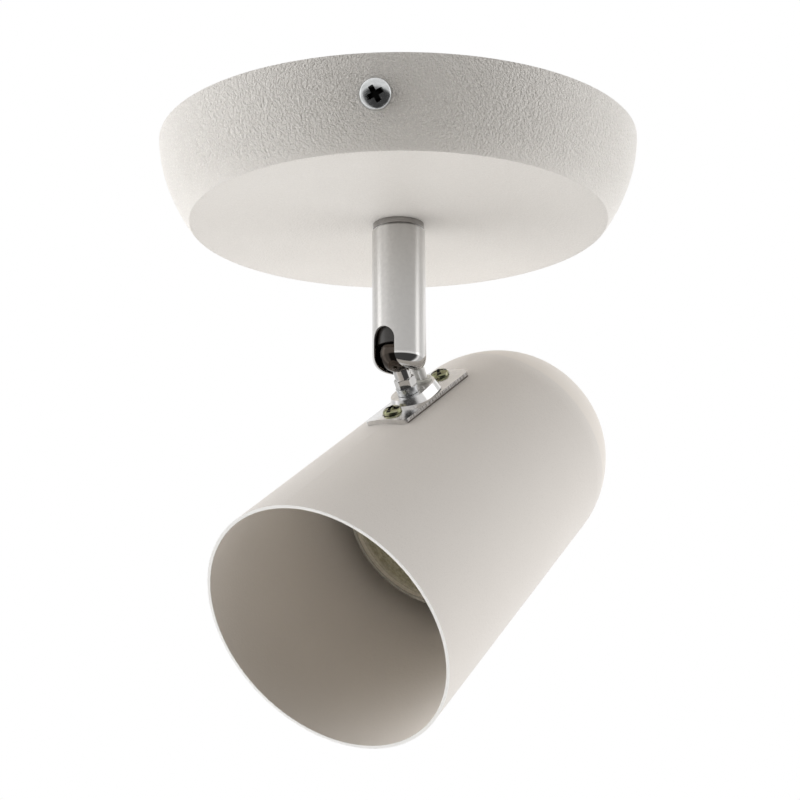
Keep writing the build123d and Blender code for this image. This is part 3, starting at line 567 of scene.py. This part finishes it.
def turned(profile, segments=64):
    """bmesh of a closed outline of points (r, z) in millimetres turned round Z."""
    bm = bmesh.new()
    rings = []
    for r, z in profile:
        if r < 1e-6:
            rings.append([bm.verts.new((0, 0, z * MM))])
            continue
        ring = []
        for k in range(segments):
            a = 2 * math.pi * k / segments
            ring.append(bm.verts.new((r * MM * math.cos(a), r * MM * math.sin(a), z * MM)))
        rings.append(ring)
    for low, high in zip(rings, rings[1:] + rings[:1]):
        if len(low) == 1 and len(high) == 1:
            continue
        for k in range(segments):
            n = (k + 1) % segments
            corners = [low[k % len(low)], low[n % len(low)], high[n % len(high)], high[k % len(high)]]
            loop = list(dict.fromkeys(corners))
            if len(loop) > 2:
                bm.faces.new(loop)
    bmesh.ops.recalc_face_normals(bm, faces=bm.faces)
    return bm


def cut(obj, cutter):
    """Take a cutter mesh out of an object."""
    tool = bpy.data.objects.new("cutter", cutter)
    bpy.context.scene.collection.objects.link(tool)
    tool.matrix_world = obj.matrix_world
    modifier = obj.modifiers.new("cut", "BOOLEAN")
    modifier.operation, modifier.solver, modifier.object = "DIFFERENCE", "EXACT", tool
    bpy.context.view_layer.update()
    depsgraph = bpy.context.evaluated_depsgraph_get()
    made = bpy.data.meshes.new_from_object(obj.evaluated_get(depsgraph))
    obj.modifiers.remove(modifier)
    obj.data = made
    bpy.data.objects.remove(tool)


def cross_wing(width, thick, deep, top, quarter):
    """Cutter of one wing of a cross recess, narrower towards the bottom."""
    bm = bmesh.new()
    corners = []
    for z, w, h in ((top + 0.3, width, thick), (top - deep, width * 0.42, thick * 0.55)):
        for x, y in ((-w, -h), (w, -h), (w, h), (-w, h)):
            x, y = (x, y) if quarter == 0 else (-y, x)
            corners.append(bm.verts.new((x * MM, y * MM, z * MM)))
    for face in ((0, 1, 2, 3), (7, 6, 5, 4), (0, 4, 5, 1), (1, 5, 6, 2), (2, 6, 7, 3), (3, 7, 4, 0)):
        bm.faces.new([corners[i] for i in face])
    bmesh.ops.recalc_face_normals(bm, faces=bm.faces)
    return as_mesh("wing", bm)


def threaded_profile_verts(bm, radius, pitch, low, high, segments=40):
    """Helical thread between two heights, joined as one closed skin."""
    depth = pitch * 0.54
    step = pitch / 8
    count = int((high - low) / step)
    rings = []
    for i in range(count + 1):
        z = low + (high - low) * i / count
        fade = min(1.0, (z - low) / pitch, (high - z) / (pitch * 0.6) + 0.15)
        ring = []
        for k in range(segments):
            a = 2 * math.pi * k / segments
            phase = (z / pitch - k / segments) % 1.0
            crest = min(1.0, max(0.0, 2.2 * (1 - abs(2 * phase - 1)) - 0.35))
            r = radius - depth * (1 - crest * max(0.0, fade))
            ring.append(bm.verts.new((r * MM * math.cos(a), r * MM * math.sin(a), z * MM)))
        rings.append(ring)
    skin_rings(bm, rings)


def cross_screw(name, place, radius, length, head_r, head_h, pitch, body, finish, slot):
    """Pan head screw with a cross recess and a cut thread; head above z = 0."""
    edge = head_h * 0.3
    top = bezier((head_r, edge), (head_r, head_h * 0.78), (head_r * 0.7, head_h), (0, head_h), 12)
    profile = [(0, 0), (head_r - 0.18, 0), (head_r, 0.18)] + top
    mesh = as_mesh(name, turned(profile, 56))
    obj = finish_mesh(name, mesh, place, None, finish, slot)
    for quarter in (0, 1):
        cut(obj, cross_wing(head_r * 0.62, head_r * 0.18, head_h * 0.8, head_h, quarter))
    bm = bmesh.new()
    bm.from_mesh(obj.data)
    threaded_profile_verts(bm, radius, pitch, -length, 0.05)
    bm.to_mesh(obj.data)
    bm.free()
    for polygon in obj.data.polygons:
        polygon.use_smooth = True
    obj.data.set_sharp_from_angle(angle=math.radians(32))
    bevel = obj.modifiers.new("softened_edges", "BEVEL")
    bevel.width, bevel.segments, bevel.limit_method = 0.06 * MM, 2, "ANGLE"
    bevel.angle_limit = math.radians(50)
    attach(obj, body)
    return obj


# ---------------------------------------------------------------- screws
def wall_point(z):
    """Radius of the canopy's wall at a height, and its slope."""
    curve = bezier((CANOPY_R, 0), (CANOPY_R, -CANOPY_STRAIGHT), (CANOPY_FLAT_R + 0.4, -CANOPY_H),
                   (CANOPY_FLAT_R, -CANOPY_H), 400)
    for (r0, z0), (r1, z1) in zip(curve, curve[1:]):
        if z1 <= z <= z0:
            return r0 + (r1 - r0) * (z0 - z) / (z0 - z1), math.atan2(r0 - r1, z0 - z1)
    return CANOPY_R, 0.0


def cover_screw_places():
    """Labels and places of the two cover screws, square to the canopy's wall."""
    radius, slope = wall_point(SCREW_Z)
    for label, azimuth in (("front", SCREW_AZIMUTH), ("back", SCREW_AZIMUTH + 180)):
        a = math.radians(azimuth)
        out = Vector((math.sin(a), -math.cos(a), 0))
        axis = out * math.cos(slope) - Vector((0, 0, 1)) * math.sin(slope)
        origin = out * radius * MM + Vector((0, 0, SCREW_Z * MM))
        yield label, upright_frame(origin, axis, (0, 0, 1)) @ Matrix.Rotation(math.radians(28), 4, "Z")


cover_screws = [cross_screw(f"cover_screw_{label}", place, **COVER_SCREW, body="canopy",
                            finish=screw_zinc, slot="zinc_steel")
                for label, place in cover_screw_places()]
for screw in cover_screws:
    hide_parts("cover_screws")

SEAT_SINK = 0.1      # the saddle screws' heads sit this deep in the plate
RECESS_TURNS = (35, 10)
saddle_slope = math.atan(SLOPE)
saddle_screws = []
for label, z, recess_turn in zip(("rear", "front"), SADDLE_SCREW_Z, RECESS_TURNS):
    over_plate = shade_r(z) + PLATE_T / math.cos(saddle_slope)
    seat = over_plate - SADDLE_SCREW["head_r"] * math.tan(saddle_slope) - SEAT_SINK
    place = shade_place @ Matrix.Translation((seat * MM, 0, z * MM))
    place = place @ Matrix.Rotation(math.radians(90), 4, "Y")
    place = place @ Matrix.Rotation(math.radians(recess_turn), 4, "Z")
    saddle_screws.append(cross_screw(f"saddle_screw_{label}", place, **SADDLE_SCREW, body="shade",
                                     finish=yellow_zinc, slot="yellow_zinc"))
for screw in saddle_screws:
    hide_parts("saddle_screws")


# ---------------------------------------------------------------- lamp face
def lamp_face():
    """Front glass with a raised ring, a shallow dish and pressed rings."""
    edge = LAMP_R - LAMP_GLASS - FIT_GAP
    back = -2.2
    dish = 0.6
    profile = [(0, back), (edge - 0.2, back), (edge, -2.0)]
    profile += arc((edge - 0.35, -0.35), 0.35, 0, 90, 5)
    profile += arc((edge - LENS_LIP + 0.3, -0.3), 0.3, 90, 180, 5)
    profile += [(edge - LENS_LIP - 0.05, -dish)]
    rings = 20
    points_per_ring = 4
    count = rings * points_per_ring
    reach = edge - LENS_LIP - 0.3
    for k in range(count):
        r = reach * (1 - (k + 1) / count)
        ripple = 0.05 * math.cos(2 * math.pi * k / points_per_ring)
        profile.append((r, -dish - 0.05 + ripple + 0.25 * (1 - r / reach) ** 2))
    mesh = as_mesh("lamp_face_glass", turned(profile, 128))
    place = shade_place @ Matrix.Translation((0, 0, LAMP_FACE_Z * MM))
    face = finish_mesh("lamp_face_glass", mesh, place, "lamp", face_glass, "lens_glass", 60)
    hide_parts("lamp_lens")


lamp_face()


# ---------------------------------------------------------------- leads
def tube_along(bm, points, radius, segments=20):
    """Round tube along a line of points, with closed ends."""
    points = [Vector(p) for p in points]
    tangents = [(b - a).normalized() for a, b in zip(points, points[1:])]
    tangents = [tangents[0]] + [(a + b).normalized() for a, b in zip(tangents, tangents[1:])] + [tangents[-1]]
    side = tangents[0].orthogonal().normalized()
    rings = []
    for point, way in zip(points, tangents):
        side = (side - way * side.dot(way)).normalized()
        other = way.cross(side)
        ring = []
        for k in range(segments):
            a = 2 * math.pi * k / segments
            ring.append(bm.verts.new(point + (side * math.cos(a) + other * math.sin(a)) * radius))
        rings.append(ring)
    skin_rings(bm, rings)


def smooth_line(corners, steps=10):
    """Points of a smooth line through a few places."""
    places = [Vector(c) for c in corners]
    ends = [places[0] * 2 - places[1]] + places + [places[-1] * 2 - places[-2]]
    line = []
    for a, b, c, d in zip(ends, ends[1:], ends[2:], ends[3:]):
        for k in range(steps):
            t = k / steps
            line.append(0.5 * ((2 * b) + (c - a) * t + (2 * a - 5 * b + 4 * c - d) * t * t
                               + (3 * b - a - 3 * c + d) * t ** 3))
    return line + [places[-1]]


def leads(name, route_at):
    """Two sleeved leads side by side, along a route that is given for each one's y."""
    bm = bmesh.new()
    for side in (-1, 1):
        tube_along(bm, smooth_line(route_at(side * LEAD_Y)), LEAD_R * MM)
    bmesh.ops.recalc_face_normals(bm, faces=bm.faces)
    return finish_mesh(name, as_mesh(name, bm), Matrix.Identity(4), None, silicone, "silicone", 50)


def in_shade(x, y, z):
    """Place in the object's frame of a point in millimetres of the shade's frame."""
    return shade_place @ Vector((x * MM, y * MM, z * MM))


SHADE_TOP = (SHADE_CENTRE - BALL).length / MM      # shade axis to the ball's centre


def along_stud(distance, y, back=LEAD_BACK):
    """Place beside the stud, by distance from the ball's centre."""
    return in_shade(SHADE_TOP - distance, y, -back)


def lower_route(y):
    """Beside the stud, under the shade's wall and into the lamp holder."""
    run_x = shade_r(0) - LEAD_DEPTH
    beside_stud = [along_stud(distance, y) for distance in (7.3, 10.0, 13.5, 17.0)]
    under_wall = [(run_x + 2.0, -LEAD_BACK - 0.3), (run_x - 1.5, -LEAD_BACK - 2.2),
                  (run_x - 7.4, -LEAD_BACK - 7.4)]
    to_holder = [(15.2, -18.4), (13.2, -22.9), (13.0, -27.4), (13.0, -35.8)]
    return beside_stud + [in_shade(x, y, z) for x, z in under_wall + to_holder]


lower = leads("lamp_leads_lower", lower_route)
tuple(along_stud(7.6, 0, 0))
tuple(along_stud(11.5, 0, 0))
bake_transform(lower)
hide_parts("lamp_leads")

slot_turn = math.radians(SLOT_AZIMUTH)
BEHIND = -Vector((math.sin(slot_turn), -math.cos(slot_turn), 0))       # away from the stem's slot
ACROSS = Vector((0, 0, 1)).cross(BEHIND)


def upper_route(y):
    """Down the stem behind its axis, past the ball and beside the stud."""
    inside = BEHIND * 4.9 * MM + ACROSS * y * MM
    in_stem = [Vector((0, 0, z)) + inside for z in (-0.0400, -0.0520, -0.0610)]
    past_ball = (Vector((0, 0, -0.0665)) + inside * 0.96) * 0.6 + along_stud(4.0, y) * 0.4
    return in_stem + [past_ball, along_stud(6.2, y), along_stud(7.7, y)]


upper = leads("lamp_leads_upper", upper_route)
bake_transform(upper)

# ---------------------------------------------------------------- finishes of the CAD nodes
finishes = {
    canopy_coat: ["canopy_cover"],
    shade_coat: ["shade_shell"],
    collar_chrome_painted_shade: ["stem_collar"],
    stem_chrome: ["stem_tube"],
    stud_chrome: ["ball_stud"],
    plate_zinc: ["saddle_plate"],
    zinc: ["ceiling_bracket", "earth_screw", "earth_washer", "stem_locknut", "nut_washer", "spring_stop",
           "pivot_washer", "pivot_nut", "saddle_nuts", "lamp_carrier", "holder_screws", "block_screw",
           "stud_lock_washer", "threaded_nipple", "stem_bush", "terminal_screws"],
    spring_steel: ["pressure_spring"],
    brass: ["terminal_poles", "holder_contacts", "lamp_pins"],
    nylon: ["terminal_block", "lead_grommet"],
    nylon_painted_shade: ["thrust_pad"],
    fibre: ["friction_washer"],
    steatite: ["lamp_holder", "lamp_cap"],
    reflector_glass: ["lamp_reflector"],
}
for finish, names in finishes.items():
    for name in names:
        node = nodes[name]
        if not node.data.materials:
            node.data.materials.append(finish)
        for k in range(len(node.material_slots)):
            node.material_slots[k].material = finish


# ---------------------------------------------------------------- studio
TENT_STOPS = [(0.0, 0.05), (0.25, 0.07), (0.37, 0.62), (0.5, 1.0), (0.68, 1.0), (0.8, 0.6), (1.0, 0.48)]
TENT_TINT = (1.0, 0.91, 0.78)
TENT_STRENGTH = 1.56

# greys that metal mirrors, all the way round: 0 and 1 are behind, 0.5 is in front
MIRRORED_BANDS = [(0.0, 1.05), (0.11, 1.0), (0.15, 0.85), (0.2, 0.9), (0.225, 1.75), (0.255, 1.75),
                  (0.285, 1.04), (0.4, 1.06), (0.53, 0.98), (0.7, 0.88), (0.72, 1.8), (0.75, 1.8),
                  (0.775, 0.86), (0.83, 0.86), (0.87, 1.3), (1.0, 1.05)]
GLOOM = 0.93

CAMERA_PLACE = (0.00012, -0.7306, -0.2767)
CAMERA_PITCH = 0.26577      # radians
CAMERA_ROLL = -0.0059
CAMERA_LENS = 118.97
SENSOR_WIDTH = 36.0


def studio_world():
    """White backdrop for the camera, with a tent that lights the object and bands that metal mirrors.

    The tent is brightest at the sides, dimmer behind and above, and nearly dark in front and below. The
    bands darken below the horizon, most of all in front.
    """
    world = bpy.data.worlds.new("studio")
    bpy.context.scene.world = world
    world.use_nodes = True
    t = Tree(world.node_tree)
    t.tree.nodes.clear()
    way = t.add("ShaderNodeTexCoord").outputs["Generated"]
    xyz = t.add("ShaderNodeSeparateXYZ", {"Vector": way}).outputs
    tent = t.add("ShaderNodeValToRGB")
    back_up = t.math("ADD", t.math("MULTIPLY", xyz[1], 0.9), t.math("MULTIPLY", xyz[2], 0.46))
    aside = t.math("SUBTRACT", t.math("MULTIPLY", t.math("ABSOLUTE", xyz[0]), 0.48), 0.17)
    t.tree.links.new(t.span(t.math("ADD", back_up, aside), -1.0, 1.0, 0.0, 1.0), tent.inputs[0])
    ramp(tent, TENT_STOPS, TENT_TINT)
    side = t.math("MULTIPLY", t.span(xyz[0], -1.0, 1.0, 1.06, 0.92), t.span(xyz[2], 0.3, 0.9, 1.0, 0.65))
    tented = t.add("ShaderNodeBackground", {"Color": tent.outputs[0],
                                            "Strength": t.math("MULTIPLY", side, TENT_STRENGTH)})
    below = t.add("ShaderNodeBackground", {"Color": (1.0, 0.97, 0.93, 1.0),
                                           "Strength": t.span(xyz[2], -0.65, -0.15, 0.2, 0.0)})
    soft = t.add("ShaderNodeAddShader", {0: tented.outputs[0], 1: below.outputs[0]})
    turn = t.math("DIVIDE", t.math("ARCTAN2", xyz[0], t.math("MULTIPLY", xyz[1], -1.0)), math.pi)
    bands = t.add("ShaderNodeValToRGB")
    t.tree.links.new(t.span(turn, -1.0, 1.0, 0.0, 1.0), bands.inputs[0])
    ramp(bands, MIRRORED_BANDS)
    ahead = t.span(t.math("ABSOLUTE", t.math("SUBTRACT", turn, 0.1)), 0.34, 0.42, 1.0, 0.3)
    under = t.span(xyz[2], -0.08, 0.06, 1.0, 0.0)
    gloom = t.math("SUBTRACT", 1.0, t.math("MULTIPLY", t.math("MULTIPLY", ahead, under), GLOOM))
    mirrored = t.add("ShaderNodeBackground", {"Color": bands.outputs[0], "Strength": gloom})
    white = t.add("ShaderNodeBackground", {"Color": (1, 1, 1, 1), "Strength": 1.0})
    ray = t.add("ShaderNodeLightPath").outputs
    lit = t.add("ShaderNodeMixShader", {0: ray["Is Glossy Ray"], 1: soft.outputs[0], 2: mirrored.outputs[0]})
    seen = t.math("MAXIMUM", ray["Is Camera Ray"], ray["Is Transmission Ray"])
    both = t.add("ShaderNodeMixShader", {0: seen, 1: lit.outputs[0], 2: white.outputs[0]})
    t.add("ShaderNodeOutputWorld", {"Surface": both.outputs[0]})


def ramp(node, stops, dim_tint=(1.0, 1.0, 1.0)):
    """Set the stops of a colour ramp: greys that take on a tint where they are dim."""
    elements = node.color_ramp.elements
    while len(elements) > 1:
        elements.remove(elements[-1])
    for k, (place, grey) in enumerate(stops):
        stop = elements[0] if k == 0 else elements.new(place)
        stop.position = place
        dim = max(0.0, 1.0 - grey)
        stop.color = tuple(grey * (1 - dim * (1 - tint)) for tint in dim_tint) + (1,)


def studio_floor():
    """Pale floor a room's height below the ceiling."""
    material, t, shader, place = new_material("pale_floor")
    drift = t.add("ShaderNodeTexNoise", {"Vector": place, "Scale": 1.5, "Detail": 2.0}).outputs[0]
    t.tree.links.new(t.blend(drift, (0.86, 0.86, 0.86, 1), (0.9, 0.9, 0.9, 1)), shader.inputs["Base Color"])
    shader.inputs["Roughness"].default_value = 0.9
    ray = t.add("ShaderNodeLightPath").outputs
    shader.inputs["Emission Color"].default_value = (1, 1, 1, 1)
    t.tree.links.new(t.math("MULTIPLY", ray["Is Camera Ray"], 0.3), shader.inputs["Emission Strength"])
    bm = bmesh.new()
    half, low, steps = 1.5, -2.4, 12
    grid = [[bm.verts.new((-half + 2 * half * i / steps, -half + 2 * half * j / steps, low))
             for i in range(steps + 1)] for j in range(steps + 1)]
    for j in range(steps):
        for i in range(steps):
            bm.faces.new((grid[j][i], grid[j][i + 1], grid[j + 1][i + 1], grid[j + 1][i]))
    mesh = as_mesh("floor", bm)
    mesh.materials.append(material)
    floor = bpy.data.objects.new("floor", mesh)
    floor.visible_glossy = False
    bpy.context.scene.collection.objects.link(floor)


def soft_box(name, place, aim, size, power):
    """Large square light turned to a point."""
    light = bpy.data.lights.new(name, "AREA")
    light.shape, light.size, light.energy = "SQUARE", size, power
    obj = bpy.data.objects.new(name, light)
    bpy.context.scene.collection.objects.link(obj)
    obj.location = place
    obj.rotation_euler = (Vector(aim) - Vector(place)).to_track_quat("-Z", "Y").to_euler()
    obj.visible_glossy = False


def studio_camera():
    """Camera at the photograph's place: a long lens, looking a little up."""
    ahead = Vector((0, math.cos(CAMERA_PITCH), math.sin(CAMERA_PITCH)))
    right = Vector((1, 0, 0))
    up = right.cross(ahead)
    image_right = right * math.cos(CAMERA_ROLL) + up * math.sin(CAMERA_ROLL)
    image_up = up * math.cos(CAMERA_ROLL) - right * math.sin(CAMERA_ROLL)
    m = Matrix((image_right, image_up, -ahead)).transposed().to_4x4()
    m.translation = Vector(CAMERA_PLACE)
    data = bpy.data.cameras.new("camera")
    data.lens = CAMERA_LENS
    data.sensor_width = SENSOR_WIDTH
    data.clip_start = 0.01
    data.clip_end = 50.0
    camera = bpy.data.objects.new("camera", data)
    bpy.context.scene.collection.objects.link(camera)
    camera.matrix_world = m
    bpy.context.scene.camera = camera


studio_world()
studio_floor()
middle = (cad_box[0] + cad_box[1]) / 2
soft_box("soft_box_left", (-1.3, 0.1, -0.2), middle, size=1.2, power=4.4)
soft_box("soft_box_right", (1.3, 0.2, -0.2), middle, size=1.2, power=2.6)
studio_camera()
bpy.context.scene.view_settings.view_transform = "Standard"

bpy.context.view_layer.update()
